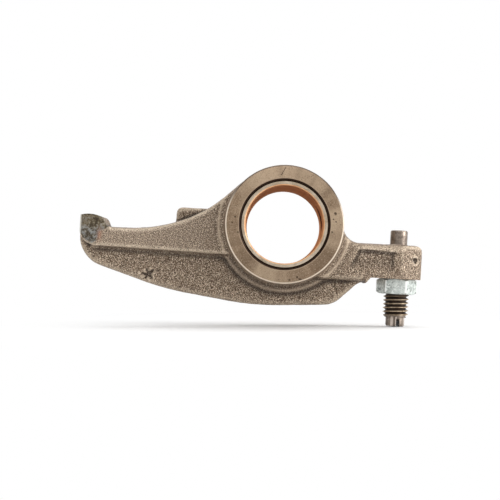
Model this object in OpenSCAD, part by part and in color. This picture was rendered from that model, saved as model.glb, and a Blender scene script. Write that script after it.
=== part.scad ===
// Rocker arm of an engine, cast in one piece with its pad, with a pressed-in
// shaft bush and an adjusting screw that is held by a lock nut. Millimetres.
// The origin is the middle of the bore. +X points to the screw, +Y runs along
// the bore away from the front face, and +Z points the way the pad faces.

/* [Shaft bore and bush] */
// Diameter of the bore that runs on the rocker shaft
bore_d = 30; // [27:0.5:33]
// Wall of the bush
bush_wall = 2; // [1.5:0.25:3]
// How far each end of the bush lies below the face of the hub
bush_recess = 0.5; // [0.2:0.1:1.5]
// Bevel at both ends of the bush bore
bush_bevel = 0.6; // [0.2:0.1:0.9]
// Diameter of the oil hole through bush and hub
oil_d = 4; // [2:0.5:5]
// Angle of the oil hole above the direction of the screw
oil_angle = 13; // [12:1:40]

/* [Hub] */
// Length of the hub along the bore
hub_len = 38; // [34:0.5:44]
// Wall of the cast hub at its faces
hub_wall = 5.65; // [4.5:0.05:8]
// Draft of the hub, in degrees, from each face to the middle
hub_draft = 3.5; // [1:0.5:6]
// Radius of the blend between the hub and the sides of the arms
hub_blend = 3.5; // [2:0.5:4]
// Bevel round both faces of the hub
hub_bevel = 0.4; // [0.2:0.1:0.8]
// Bevel at both ends of the hub's own bore, beside the bush
seat_bevel = 0.6; // [0.2:0.1:1]

/* [Valve arm] */
// Distance from the bore centre to the ground end of the pad
valve_reach = 79.8; // [72:0.1:88]
// Height of the pad's crown above the bore centre
pad_top = 0.6; // [-1:0.1:2.5]
// Radius of the pad's crown
pad_r = 12; // [10:0.5:40]
// Length of the pad from its ground end to its shoulder
pad_len = 8.8; // [8:0.1:12]
// Distance from the ground end to the highest line of the pad
pad_apex = 3.7; // [1:0.1:5]
// Width of the pad's ground sides
pad_w = 18.8; // [16:0.1:22]
// Width of the valve arm's flange
flange_w = 19; // [16:0.1:22]
// How far the flange's top lies below the bore centre, beside the pad
flange_drop = 3.95; // [3:0.05:6]
// Height of the flange beside the pad
flange_h = 8.2; // [6.5:0.1:10]
// Radius of the flange's cast edges
flange_edge = 0.9; // [0.5:0.1:1.4]

/* [Web] */
// Thickness of the web under the flange
web_w = 10.5; // [8:0.1:13]
// Depth below the hub of the lower bend of the web
web_below_hub = 8.2; // [5:0.1:11]
// Depth below the bore centre of the corner that the web's nose rounds off
web_nose_drop = 15.4; // [13:0.1:18]
// Radius of the web's nose under the pad
web_nose_r = 11.8; // [6:0.1:12]
// Radius of the fillet between web and flange
web_fillet = 2.5; // [1:0.1:3]
// Radius of the web's lower edges
web_edge = 1.8; // [0.8:0.1:2.4]

/* [Screw arm] */
// Distance from the bore centre to the axis of the screw
screw_x = 46; // [42:0.5:52]
// Width of the screw arm
screw_arm_w = 19; // [17:0.1:22]
// How far the top of the screw arm lies below the bore centre
screw_arm_drop = 5.15; // [4:0.05:7]
// Height of the boss between its top and the seat of the nut
boss_h = 13.45; // [11:0.05:15]
// Wall of the boss beyond the screw hole, at the end of the arm
boss_wall = 4.1; // [2.5:0.1:5]
// Angle of the flat sides of the boss's nose
nose_angle = 30; // [20:1:40]
// How far the nut's seat is milled into the underside of the arm
seat_depth = 1.9; // [1:0.1:2.5]
// Distance from the screw's axis to the inner edge of the seat
seat_reach = 11.2; // [9.5:0.1:12]
// Radius of the screw arm's cast edges
screw_arm_edge = 1.9; // [0.8:0.1:2.2]
// Radius of the blend between the hub and the top of the screw arm
throat_r = 6.8; // [3:0.1:7]

/* [Lug behind the valve arm] */
// Distance from the bore centre to the outer side of the lug
lug_x = 43; // [39:0.5:46]
// Height of the lug's top above the bore centre
lug_top = 5.6; // [4:0.1:7]
// Width of the lug along the bore
lug_w = 7; // [5:0.1:8]
// Distance from the middle of the arm to the middle of the lug
lug_y = 5; // [4:0.1:5.5]

/* [Adjusting screw and lock nut] */
// Diameter over the crests of the thread
thread_d = 10; // [8:0.5:11]
// Pitch of the thread
pitch = 1.5; // [1:0.25:1.75]
// Gap between the thread's crests and the walls of both tapped holes
thread_gap = 0.05; // [0.03:0.01:0.08]
// Diameter of the plain end above the arm
plain_d = 6.8; // [5:0.1:7.5]
// How far the plain end stands above the arm
plain_out = 5.8; // [5:0.1:9]
// Length of screw below the nut
screw_out = 12.7; // [11:0.1:16]
// Diameter of the slotted tip
tip_d = 7.4; // [5:0.1:7.8]
// Length of the slotted tip
tip_len = 3.4; // [3:0.1:5]
// Angle by which the screwdriver slot is turned from the line along the bore
slot_turn = 12; // [-90:1:90]
// Width of the screwdriver slot
slot_w = 1.4; // [1:0.1:2]
// Depth of the screwdriver slot
slot_depth = 2.1; // [1.5:0.1:2.5]
// Height of the lock nut
nut_h = 6; // [5:0.1:8]
// Width across the flats of the lock nut
nut_flats = 14; // [13:0.5:17]
// Angle by which the nut is turned from square to the arm
nut_turn = -9.6; // [-30:0.1:30]

/* [Hidden] */

// Facets of a full circle, and how far an outline's facets may stray from an arc
facets = 96;
chord_error = 0.04;
// Largest share of an edge that the arcs at its two ends may take up
arc_share = 0.98;
// Steps of a rounded edge, smallest radius left by an inset, and overrun of cuts
edge_steps = 3;
least_r = 0.2;
past = 1;
// How far a blend runs into the surface it joins, so that the two cross
sink = 0.25;
// Blends beside the arms: steps, depth below both faces, angle to the side face, and the part
// of a cast edge's radius that is left free outside them
blend_steps = 3;
blend_sink = 0.08;
blend_angle = 22;
blend_margin = 0.3;

// Hub
bush_r = bore_d / 2 + bush_wall;
hub_face_r = bush_r + hub_wall;
hub_mid_r = hub_face_r + hub_len / 2 * tan(hub_draft);
tangent_r = hub_mid_r - sink;
hub_core = bore_d / 2;
oil_spin = 45;

// Valve arm: draft, the two bends of its top as [x, z, r], which keep their distance from the
// hub, how its top eases into the hub, and the fall of its underside
flange_draft = 4.5;
flange_top = -flange_drop;
flange_bend_1 = [-hub_mid_r - 28, flange_top + 0.25, 57];
flange_bend_2 = [-hub_mid_r - 7.8, flange_top + 7.3, 50];
flange_ease = 0.4;
flange_ease_r = 20;
flange_ease_angle = 16;
flange_under = flange_top - flange_h;
flange_fall = 1.1;
flange_toe_r = 1.5;
flange_toe_lean = 1;

// Pad: how far the flange runs into it, its shoulder, its foot on the arm, the edge of its
// ground end and its cast underside
pad_end = -valve_reach;
pad_lap = 1;
pad_shoulder_run = 1.9;
pad_shoulder_r = 3;
pad_foot_r = 1;
pad_foot_run = 1.4;
pad_edge_run = 0.7;
pad_edge_r = 0.8;
pad_root = 2;
pad_under_z = -9.6;
pad_under_r = 5.5;
pad_under_bend = 6.5;
pad_under_rise = 0.4;
pad_under_bend_r = 6;

// Web: its lower bends from the pad's end to the heel under the screw arm, and its nose, which
// leans out from the pad's end below the flange's top
web_draft = 2;
web_z = -hub_mid_r - web_below_hub;
web_bend_1 = [-46.4, web_z + 4.9, 100];
web_bend_2 = [-10.6, web_z, 110];
web_heel = [21.1, web_z + 2, 10];
web_heel_angle = 45;
web_throat_r = 7.3;
web_inset = 0.1;
web_nose_lean = 21.5;
web_top_below_crown = 1.6;
web_core_z = (flange_top + flange_under) / 2;
fillet_lap = 4;

// Screw arm
hole_r = thread_d / 2 + thread_gap;
hole_bevel = 0.5;
boss_end = screw_x + hole_r + boss_wall;
arm_top = -screw_arm_drop;
seat_z = arm_top - boss_h;
arm_under = seat_z - seat_depth;
screw_arm_draft = 4.5;
boss_corner_r = 2.4;
nose_start = screw_x + 0.8;
nose_crease_r = 1.5;
nose_end_r = 5;
nose_flare = 0.2;
nose_flare_run = 2;
seat_ramp = 50;
arm_core = 5;
wide = 40;

// Lug: lean of its outer side, length and corner radius
lug_lean = 0.6;
lug_len = 14;
lug_corner_r = 2;

// Screw and nut
thread_r = thread_d / 2;
thread_depth = 0.6134 * pitch;
root_r = thread_r - thread_depth;
thread_start = 1.2;
nut_bottom = seat_z - nut_h;
tip_z = nut_bottom - screw_out;
thread_low = tip_z + tip_len;
thread_high = arm_top - thread_start;
screw_top = arm_top + plain_out;
screw_bevel = 0.5;
nut_bevel_angle = 30;
nut_hole_bevel = 0.4;
nut_face_margin = 0.2;

// Plane geometry of [x, z] points and of outlines given by their corners.
// A corner is [x, z, r], with r = 0 for a sharp one, and outlines run anticlockwise.
function unit(v) = v / norm(v);
function left_of(v) = [-v.y, v.x];
function turned(v, a) = [v.x * cos(a) - v.y * sin(a), v.x * sin(a) + v.y * cos(a)];
function flat(c) = [c.x, c.y];
function arc_steps(r, a) = max(2, ceil(a / (2 * acos(1 - chord_error / max(r, 1)))));

// Points of one corner after its two edges have moved inwards by inset
function corner_points(before, at, after, inset) =
    let (
        u = unit(flat(at) - flat(before)),
        v = unit(flat(after) - flat(at)),
        side = sign(cross(u, v)),
        bend = acos(min(1, u * v)),
        shift = (left_of(u) + left_of(v)) / (1 + u * v),
        tip = flat(at) + inset * shift,
        r = max(at.z - side * inset, least_r),
        start = tip - u * r * tan(bend / 2),
        centre = start + left_of(u) * side * r,
        steps = arc_steps(at.z, bend)
    )
    at.z == 0
        ? [tip]
        : [for (k = [0:steps]) centre - turned(left_of(u), side * bend * k / steps) * side * r];

// Length that the arc of one corner takes up on both of its edges
function arc_reach(before, at, after) =
    let (u = unit(flat(at) - flat(before)), v = unit(flat(after) - flat(at)))
    at.z * tan(acos(min(1, u * v)) / 2);

// Corners with each radius limited by the edges beside it, so that no two arcs overlap
function fitted(corners) =
    let (
        n = len(corners),
        reach = [for (i = [0:n - 1])
            arc_reach(corners[(i + n - 1) % n], corners[i], corners[(i + 1) % n])
        ],
        room = [for (i = [0:n - 1])
            let (k = (i + 1) % n, edge = norm(flat(corners[k]) - flat(corners[i])))
            arc_share * edge / max(reach[i] + reach[k], arc_share * edge)
        ]
    )
    [for (i = [0:n - 1])
        [corners[i].x, corners[i].y, corners[i].z * min(room[i], room[(i + n - 1) % n])]
    ];

// Points of a whole outline
function outline(corners, inset = 0) =
    let (n = len(corners), fit = fitted(corners))
    [for (i = [0:n - 1])
        each corner_points(fit[(i + n - 1) % n], fit[i], fit[(i + 1) % n], inset)
    ];

// Points of a blend's arc of radius r about centre, between the angles a and b
function arc_points(centre, r, a, b) =
    [for (k = [0:blend_steps])
        let (at = a + (b - a) * k / blend_steps)
        centre + r * [cos(at), sin(at)]
    ];

// Corner that gives an arc of radius r about centre, between the angles a and b
function arc_corner(centre, r, a, b) =
    let (reach = r / cos((b - a) / 2), middle = (a + b) / 2)
    [centre.x + reach * cos(middle), centre.y + reach * sin(middle), r];

// Angle at which a line from point p touches the circle of radius r about the origin
function touch_angle(p, r) = atan2(p.y, p.x) - acos(r / norm(p));

// Whether point p lies in the anticlockwise triangle abc
function inside(p, a, b, c) =
    cross(b - a, p - a) >= 0 && cross(c - b, p - b) >= 0 && cross(a - c, p - c) >= 0;

// Whether corner i of the points that are left can be cut off an outline as a triangle
function is_ear(points, left, i) =
    let (
        n = len(left),
        a = points[left[(i + n - 1) % n]],
        b = points[left[i]],
        c = points[left[(i + 1) % n]],
        within = [for (k = left)
            let (p = points[k])
            if (p != a && p != b && p != c && inside(p, a, b, c)) k
        ]
    )
    cross(b - a, c - b) > 0 && len(within) == 0;

// Triangles of an outline, as places in its list of points, cut off one after another
function triangles(points, left, i = 0) =
    let (n = len(left), at = i % n)
    n == 3
        ? [left]
        : is_ear(points, left, at)
            ? concat(
                [[left[(at + n - 1) % n], left[at], left[(at + 1) % n]]],
                triangles(points, [for (k = [0:n - 1]) if (k != at) left[k]], at + 1)
            )
            : triangles(points, left, at + 1);

// Rings of a cast slab as [y, inset], from its middle out to one side
function slab_rings(w, edge, draft) =
    let (run = w / 2 - edge)
    [for (k = [0:edge_steps])
        let (a = 90 * k / edge_steps)
        [run + edge * sin(a), run * tan(draft) + edge * (1 - cos(a))]
    ];

// Slab of width w across y, drafted both ways from its middle, with rounded edges
module cast_slab(corners, w, edge, draft) {
    side = slab_rings(w, edge, draft);
    last = len(side) - 1;
    rings = [for (k = [last:-1:0]) [-side[k].x, side[k].y], [0, 0], each side];
    loops = [for (ring = rings) [for (p = outline(corners, ring.y)) [p.x, ring.x, p.y]]];
    n = len(loops[0]);
    end = len(rings) - 1;
    walls = [for (j = [0:end - 1], i = [0:n - 1])
        let (k = (i + 1) % n, near = j * n, far = near + n)
        [near + i, near + k, far + k, far + i]
    ];
    cap = triangles(outline(corners, side[last].y), [for (i = [0:n - 1]) i]);
    front = [for (t = cap) [t[2], t[1], t[0]]];
    back = [for (t = cap) [for (i = t) end * n + i]];
    polyhedron([for (loop = loops) each loop], concat(front, walls, back));
}

// Solid of an [x, z] outline, w wide across y
module across(points, w) {
    rotate([90, 0, 0])
        linear_extrude(w, center = true)
            polygon(points);
}

// Solid turned about the axis of the bore, from [radius, y] points
module turned_on_bore(points) {
    rotate([-90, 0, 0])
        rotate_extrude($fn = facets)
            polygon(points);
}

// Corners of the valve arm's flange, seen from the front
function flange_corners() =
    let (
        bend = flat(flange_bend_2),
        ease_r = tangent_r + flange_ease,
        a = touch_angle(bend, ease_r),
        touch = ease_r * [cos(a), sin(a)],
        last = a - flange_ease_angle,
        end_x = pad_end + pad_len - pad_lap,
        toe_x = end_x - flange_toe_lean
    )
    [
        [toe_x, flange_under, flange_toe_r],
        [-hub_core, flange_under - (-hub_core - toe_x) * tan(flange_fall), 0],
        [0, 0, 0],
        [tangent_r * cos(last), tangent_r * sin(last), 0],
        [touch.x, touch.y, flange_ease_r],
        flange_bend_2,
        flange_bend_1,
        [end_x, flange_top, 0]
    ];

// Corners of the pad: crown, shoulder, foot on the arm, and the cast underside
function pad_corners() =
    let (
        centre = [pad_end + pad_apex, pad_top - pad_r],
        outer = 90 + asin((pad_apex - pad_edge_run) / pad_r),
        inner = 90 - asin((pad_len - pad_shoulder_run - pad_apex) / pad_r),
        arc_end = centre + pad_r * [cos(inner), sin(inner)],
        shoulder = arc_end + pad_shoulder_run * [sin(inner), -cos(inner)],
        arc_start = centre + pad_r * [cos(outer), sin(outer)],
        foot_x = pad_end + pad_len + pad_foot_run
    )
    [
        [pad_end, pad_under_z, pad_under_r],
        [pad_end + pad_under_bend, flange_under + pad_under_rise, pad_under_bend_r],
        [foot_x, flange_under + past, 0],
        [foot_x + pad_root, flange_top - sink, 0],
        [foot_x, flange_top, pad_foot_r],
        [shoulder.x, shoulder.y, pad_shoulder_r],
        arc_corner(centre, pad_r, inner, outer),
        [pad_end, arc_start.y - pad_edge_run * tan(outer - 90), pad_edge_r]
    ];

// Corners of the web, from its top inside the pad round its lower edge
function web_corners() =
    let (
        lean = tan(web_nose_lean),
        start_x = pad_end + web_inset,
        top_z = pad_top - web_top_below_crown,
        rise = arm_under + sink - web_heel.y,
        throat_x = web_heel.x + rise / tan(web_heel_angle),
        throat_end = throat_x + web_throat_r / 2
    )
    [
        [start_x + (top_z - flange_top) * lean, top_z, 0],
        [start_x - (flange_top + web_nose_drop) * lean, -web_nose_drop, web_nose_r],
        web_bend_1,
        web_bend_2,
        web_heel,
        [throat_x, arm_under + sink, web_throat_r],
        [throat_end, arm_under + sink, 0],
        [throat_end, arm_under + arm_core, 0],
        [0, arm_under + arm_core, 0],
        [-hub_core, web_core_z, 0],
        [pad_end + pad_len, web_core_z, 0]
    ];

// Corners of the screw arm, with the throat against the hub
function screw_arm_corners() =
    let (
        throat_z = arm_top + throat_r,
        a = asin(throat_z / (tangent_r + throat_r)),
        touch = tangent_r * [cos(a), sin(a)],
        along = [-sin(a), cos(a)],
        slack = sqrt(2 * tangent_r * sink) - sink,
        drop = (touch.y - arm_top) / along.y
    )
    [
        [0, arm_under + arm_core, 0],
        [hub_core, arm_under, 0],
        [boss_end, arm_under, 0],
        [boss_end, arm_top, boss_corner_r],
        [touch.x - along.x * drop, arm_top, throat_r],
        [touch.x + along.x * slack, touch.y + along.y * slack, 0],
        [0, 0, 0]
    ];

// Plan of the screw arm as seen from above: straight sides and a nose round the screw
function nose_corners() =
    let (
        half = screw_arm_w / 2,
        end_y = half - (boss_end - nose_start) * tan(nose_angle),
        flare = wide / 2
    )
    [
        [-wide, -half - flare, 0],
        [nose_start - nose_flare_run, -half - nose_flare, 0],
        [nose_start, -half, nose_crease_r],
        [boss_end, -end_y, nose_end_r],
        [boss_end, end_y, nose_end_r],
        [nose_start, half, nose_crease_r],
        [nose_start - nose_flare_run, half + nose_flare, 0],
        [-wide, half + flare, 0]
    ];

// Concave skirt of the hub where it meets a side face at distance y0 from the middle
module hub_skirt(y0) {
    hub_r = hub_face_r + (hub_len / 2 - y0 - hub_blend) * tan(hub_draft);
    centre = [hub_r + hub_blend, y0 + hub_blend * cos(blend_angle)] - blend_sink * [1, 1];
    arc = arc_points(centre, hub_blend, 180, 270 - blend_angle);
    rim = arc[blend_steps];
    root = [[rim.x, y0 - past], [hub_r - past, y0 - past], [hub_r - past, centre.y]];
    turned_on_bore(concat(arc, root));
}

// Both skirts of one slab, kept inside its own outline
module slab_skirts(corners, w, edge, draft) {
    inset = (w / 2 - edge) * tan(draft) + blend_margin * edge;
    intersection() {
        union() {
            hub_skirt(w / 2);
            mirror([0, 1, 0]) hub_skirt(w / 2);
        }
        across(outline(corners, inset), hub_len);
    }
}

// Fillets in the two corners between the web and the underside of the flange
module web_fillets() {
    start_x = pad_end + pad_len - fillet_lap;
    half = web_w / 2;
    under = flange_under + half * tan(flange_draft);
    centre = [half + web_fillet, under - web_fillet];
    reach = (web_fillet + blend_sink) / cos(blend_angle);
    arc = arc_points(centre, reach, 90 + blend_angle, 180 - blend_angle);
    top = arc[0];
    foot = arc[blend_steps];
    root = [[half - past, foot.y], [half - past, under + past], [top.x, under + past]];
    for (side = [0, 1])
        mirror([0, side, 0])
            translate([start_x, 0, 0])
                rotate([0, flange_fall, 0])
                    rotate([90, 0, 90])
                        linear_extrude(-hub_core - start_x)
                            polygon(concat(arc, root));
}

// Turned outline of the hub, drafted from its middle to both faces
module hub() {
    half = hub_len / 2;
    turned_on_bore([
        [0, -half],
        [hub_face_r - hub_bevel, -half],
        [hub_face_r, -half + hub_bevel],
        [hub_mid_r, 0],
        [hub_face_r, half - hub_bevel],
        [hub_face_r - hub_bevel, half],
        [0, half]
    ]);
}

module valve_arm() {
    cast_slab(flange_corners(), flange_w, flange_edge, flange_draft);
    slab_skirts(flange_corners(), flange_w, flange_edge, flange_draft);
    across(outline(pad_corners()), pad_w);
}

module web() {
    cast_slab(web_corners(), web_w, web_edge, web_draft);
    slab_skirts(web_corners(), web_w, web_edge, web_draft);
    web_fillets();
}

module screw_arm() {
    intersection() {
        cast_slab(screw_arm_corners(), screw_arm_w, screw_arm_edge, screw_arm_draft);
        translate([0, 0, arm_under - past])
            linear_extrude(tangent_r - arm_under)
                polygon(outline(nose_corners()));
    }
    slab_skirts(screw_arm_corners(), screw_arm_w, screw_arm_edge, screw_arm_draft);
}

// Small block on the rear half of the valve arm
module lug() {
    inner_x = -lug_x + lug_len;
    corners = [
        [-lug_x - lug_lean, web_core_z, 0],
        [inner_x, web_core_z, 0],
        [inner_x, lug_top, 0],
        [-lug_x, lug_top, lug_corner_r]
    ];
    translate([0, lug_y, 0])
        cast_slab(corners, lug_w, flange_edge, flange_draft);
}

// Milled seat of the nut, with the ramp at its inner edge
module seat_cut() {
    inner_x = screw_x - seat_reach;
    deep = seat_depth + past;
    across([
        [inner_x - deep / tan(seat_ramp), seat_z - deep],
        [boss_end + past, seat_z - deep],
        [boss_end + past, seat_z],
        [inner_x, seat_z]
    ], wide);
}

// Bevelled bore of the hub, into which the bush is pressed
module hub_bore() {
    half = hub_len / 2;
    bevel = seat_bevel;
    turned_on_bore([
        [0, -half - past],
        [bush_r + bevel, -half - past],
        [bush_r + bevel, -half],
        [bush_r, -half + bevel],
        [bush_r, half - bevel],
        [bush_r + bevel, half],
        [bush_r + bevel, half + past],
        [0, half + past]
    ]);
}

// Hole for the oil, spun by oil_spin so that its seam stays off the ridge of the hub
module oil_hole() {
    rotate([0, -oil_angle, 0])
        rotate([0, 90, 0])
            rotate([0, 0, oil_spin])
                cylinder(h = hub_mid_r + past, d = oil_d, $fn = facets);
}

// Tapped hole of the screw, as a plain hole over the crests, with bevelled mouths
module screw_hole() {
    translate([screw_x, 0, 0])
        rotate_extrude($fn = facets)
            polygon([
                [0, arm_under - past],
                [hole_r + hole_bevel, arm_under - past],
                [hole_r + hole_bevel, seat_z],
                [hole_r, seat_z + hole_bevel],
                [hole_r, arm_top - hole_bevel],
                [hole_r + hole_bevel, arm_top],
                [hole_r + hole_bevel, arm_top + past],
                [0, arm_top + past]
            ]);
}

module arm_casting() {
    color("dimgray")
        difference() {
            union() {
                hub();
                valve_arm();
                web();
                screw_arm();
                lug();
            }
            hub_bore();
            oil_hole();
            seat_cut();
            screw_hole();
        }
}

module bush() {
    half = hub_len / 2 - bush_recess;
    r = bore_d / 2;
    rim = bush_wall / 4;
    color("peru")
        difference() {
            turned_on_bore([
                [r, -half + bush_bevel],
                [r + bush_bevel, -half],
                [bush_r - rim, -half],
                [bush_r, -half + rim],
                [bush_r, half - rim],
                [bush_r - rim, half],
                [r + bush_bevel, half],
                [r, half - bush_bevel]
            ]);
            oil_hole();
        }
}

// One side of the thread, cut as rings at the true pitch and depth
function thread_points() =
    let (
        turns = floor((thread_high - thread_low) / pitch) - 1,
        crest = pitch / 8,
        root = pitch / 4
    )
    [for (k = [0:turns - 1])
        let (
            z = thread_low + pitch * (k + 1),
            low_crest = k == 0 ? thread_r - thread_depth / 2 : thread_r
        )
        each [
            [low_crest, z - (pitch - crest) / 2],
            [root_r, z - root / 2],
            [root_r, z + root / 2],
            [thread_r, z + (pitch - crest) / 2]
        ]
    ];

module adjusting_screw() {
    tip_r = tip_d / 2;
    plain_r = plain_d / 2;
    profile = concat(
        [[0, tip_z], [tip_r - screw_bevel, tip_z]],
        [[tip_r, tip_z + screw_bevel], [tip_r, thread_low - screw_bevel]],
        thread_points(),
        [[thread_r, thread_high - screw_bevel], [plain_r, thread_high + thread_r - plain_r - screw_bevel]],
        [[plain_r, screw_top - screw_bevel], [plain_r - screw_bevel, screw_top], [0, screw_top]]
    );
    color("slategray")
        translate([screw_x, 0, 0])
            difference() {
                rotate_extrude($fn = facets)
                    polygon(profile);
                rotate([0, 0, slot_turn])
                    translate([-slot_w / 2, -thread_d, tip_z - past])
                        cube([slot_w, 2 * thread_d, slot_depth + past]);
            }
}

module lock_nut() {
    corner_r = nut_flats / 2 / cos(30);
    face_r = nut_flats / 2 - nut_face_margin;
    fall = (corner_r - face_r + past) * tan(nut_bevel_angle);
    rim_r = corner_r + past;
    lower = [[0, 0], [face_r, 0], [rim_r, fall]];
    upper = [[rim_r, nut_h - fall], [face_r, nut_h], [0, nut_h]];
    color("gainsboro")
        translate([screw_x, 0, nut_bottom])
            rotate([0, 0, nut_turn])
                difference() {
                    intersection() {
                        cylinder(h = nut_h, r = corner_r, $fn = 6);
                        rotate_extrude($fn = facets)
                            polygon(concat(lower, upper));
                    }
                    rotate_extrude($fn = facets)
                        polygon([
                            [0, -past],
                            [hole_r + nut_hole_bevel, -past],
                            [hole_r + nut_hole_bevel, 0],
                            [hole_r, nut_hole_bevel],
                            [hole_r, nut_h - nut_hole_bevel],
                            [hole_r + nut_hole_bevel, nut_h],
                            [hole_r + nut_hole_bevel, nut_h + past],
                            [0, nut_h + past]
                        ]);
                }
}

arm_casting();
bush();
adjusting_screw();
lock_nut();
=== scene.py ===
import math

import bmesh
import bpy
import numpy as np
from mathutils import Matrix, Vector, kdtree, noise


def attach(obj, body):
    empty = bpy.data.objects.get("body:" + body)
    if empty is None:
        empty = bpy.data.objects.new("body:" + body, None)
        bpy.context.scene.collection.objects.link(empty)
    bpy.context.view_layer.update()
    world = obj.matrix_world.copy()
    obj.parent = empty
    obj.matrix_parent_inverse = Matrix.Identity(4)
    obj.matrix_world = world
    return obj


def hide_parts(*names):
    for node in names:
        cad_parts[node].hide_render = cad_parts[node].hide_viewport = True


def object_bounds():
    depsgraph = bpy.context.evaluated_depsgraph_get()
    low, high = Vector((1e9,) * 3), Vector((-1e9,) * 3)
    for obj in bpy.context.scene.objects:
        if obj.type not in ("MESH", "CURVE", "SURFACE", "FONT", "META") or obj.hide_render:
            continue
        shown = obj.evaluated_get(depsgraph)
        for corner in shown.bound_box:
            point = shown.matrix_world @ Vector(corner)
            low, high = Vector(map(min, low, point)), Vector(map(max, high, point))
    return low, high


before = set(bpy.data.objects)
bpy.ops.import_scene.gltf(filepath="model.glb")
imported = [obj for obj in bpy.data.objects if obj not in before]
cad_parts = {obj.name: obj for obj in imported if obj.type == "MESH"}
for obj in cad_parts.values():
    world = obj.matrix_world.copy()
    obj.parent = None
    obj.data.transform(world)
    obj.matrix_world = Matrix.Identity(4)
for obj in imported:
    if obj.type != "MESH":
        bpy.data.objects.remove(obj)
cad_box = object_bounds()

# Sizes of the CAD model that the pieces repeat, in millimetres
MM = 0.001
BORE_R = 15.0
BUSH_R = 17.0
BUSH_HALF = 18.5
BUSH_BEVEL = 0.6
BUSH_RIM = 0.5
HUB_FACE_R = 22.65
HUB_HALF = 19.0
HUB_DRAFT = math.tan(math.radians(3.5))
HUB_BEVEL = 0.4
SEAT_BEVEL = 0.6
OIL_R = 2.0
OIL_ANGLE = math.radians(13)
PAD_END = -79.8
PAD_HALF = 9.4
PAD_CENTRE = (-76.1, -11.4)
PAD_R = 12.0
WEB_HALF = 5.25
ARM_TOP = -5.15
ARM_HALF = 9.5
SEAT_Z = -18.6
SEAT_IN = 34.8
SEAT_RAMP = math.radians(50)
BOSS_END = 55.15
NOSE_START = 46.8
NOSE_ANGLE = math.radians(30)
NOSE_END_R = 5.0
SCREW_X = 46.0
HOLE_R = 5.05
HOLE_BEVEL = 0.5
TIP_Z = -37.3
TIP_R = 3.7
THREAD_LOW = -33.9
THREAD_HIGH = -6.35
THREAD_R = 5.0
PITCH = 1.5
THREAD_DEPTH = 0.6134 * PITCH
PLAIN_R = 3.4
SCREW_TOP = 0.65
SLOT_TURN = math.radians(12)
SLOT_HALF = 0.7
SLOT_DEPTH = 2.1
NUT_LOW = -24.6
NUT_H = 6.0
NUT_FLATS = 14.0
NUT_TURN = math.radians(-9.6)
NUT_HOLE_BEVEL = 0.4
NUT_FACE_MARGIN = 0.2

# Metal put back on the CAD casting before its skin is made, in millimetres
FILL_INSET = 0.05
FILL_HUB = (20.4, 16.0)
FILL_SEAT = (-21.2, -17.6)
FILL_HOLE = -21.5
FILL_CROWN = 0.8
FILL_CROWN_END = -72.4
FILL_CROWN_FOOT = -3.0
# How far the machining cuts reach, in millimetres
CUT_FACE_R = 26.5
CUT_ALONG = 26.0
CUT_SEAT_DEPTH = 3.0
CUT_SEAT_END = 58.0
CUT_CROWN_END = -71.2
# Cast skin of the visible casting, in millimetres: its mesh, its unevenness and its mean height
VOXEL = 0.46
SKIN_SIZES = (5.0, 1.9, 1.05)
SKIN_HEIGHTS = (0.070, 0.060, 0.060)
SKIN_OFFSET = 0.10
# Distance from the middle plane over which the arms' rough skin gives way to the hub's smooth one
HUB_SKIN = (9.9, 11.2)
# Rounded collar round the hub's foot and the shallow groove inside it, in millimetres
COLLAR_R = 25.4
COLLAR_HEIGHT = 0.55
COLLAR_WIDTH = 0.95
COLLAR_END = (10.2, 11.6)
GROOVE_R = 23.8
GROOVE_DEPTH = 0.10
GROOVE_WIDTH = 0.5
# Shallow hollow on the sides of the screw arm, with the places where its edges run out
RECESS_DEPTH = 0.50
RECESS_LEFT_Z = (-17.0, -12.5, -7.5)
RECESS_LEFT_X = (25.0, 26.6, 29.2)
RECESS_RIGHT = (42.6, 45.2)
RECESS_TOP = (-8.1, -7.4)
RECESS_LEAN = 0.03
RECESS_LOW = (-19.0, -12.0)
# Bends, in millimetres off the smoothed skin, that count as a full edge and a full hollow, for the painted
# edge highlight and the painted shade in hollows
FULL_EDGE = 0.080
FULL_CAVITY = 0.070
# Rusty spot on the flange beside the pad: (x, z) and its size that way
RUST_PLACE = (-71.9, -7.2)
RUST_SIZE = (0.9, 2.2)
RUST_SHARE = 0.55
# Screw's thread: start and slope of its lead-in, and its run-out above
LEAD_IN = 0.35
LEAD_SLOPE = 0.9
RUN_OUT_START = 1.2
RUN_OUT_END = 0.6
NECK = 1.5
# Rounded ends of the screw as (inset from its side, height from its end)
TIP_ROUND = ((0.0, 0.6), (0.12, 0.28), (0.42, 0.03), (0.7, 0.0))
TOP_ROUND = ((0.0, 0.6), (0.14, 0.24), (0.42, 0.03), (0.7, 0.0))

# The photograph's camera, as an eye point in millimetres, a focal length in pixels and a roll
ROLL = math.radians(3.0)
RIGHT = Vector((math.cos(ROLL), 0.0, math.sin(ROLL)))
UP = Vector((-math.sin(ROLL), 0.0, math.cos(ROLL)))
EYE = Vector((-8.14, -461.0, -19.74))
FOCAL_PX = 1158.0
FRAME_PX = 500.0
AXIS_PX = (10.7, 24.7)
FLOOR_BELOW_EYE = 20.6

# Marks of the photograph in its pixels: grooves as (u0, v0, u1, v1, width and depth in mm)
WEB_MARKS = [
    (147.6, 274.6, 142.0, 273.4, 0.9, 0.50),
    (148.6, 273.8, 152.8, 270.4, 1.0, 0.60),
    (148.4, 273.8, 147.0, 269.2, 0.8, 0.50),
    (149.0, 274.0, 151.6, 278.2, 0.9, 0.60),
    (148.6, 274.6, 145.2, 277.8, 0.8, 0.45),
    (157.6, 270.8, 158.0, 271.6, 0.6, 0.22),
]
BOSS_MARKS = [
    (415.2, 260.4, 415.5, 262.2, 1.2, 0.90),
    (415.8, 261.4, 416.8, 261.2, 0.8, 0.60),
    (419.0, 258.6, 419.6, 261.0, 0.5, 0.18),
]
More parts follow.
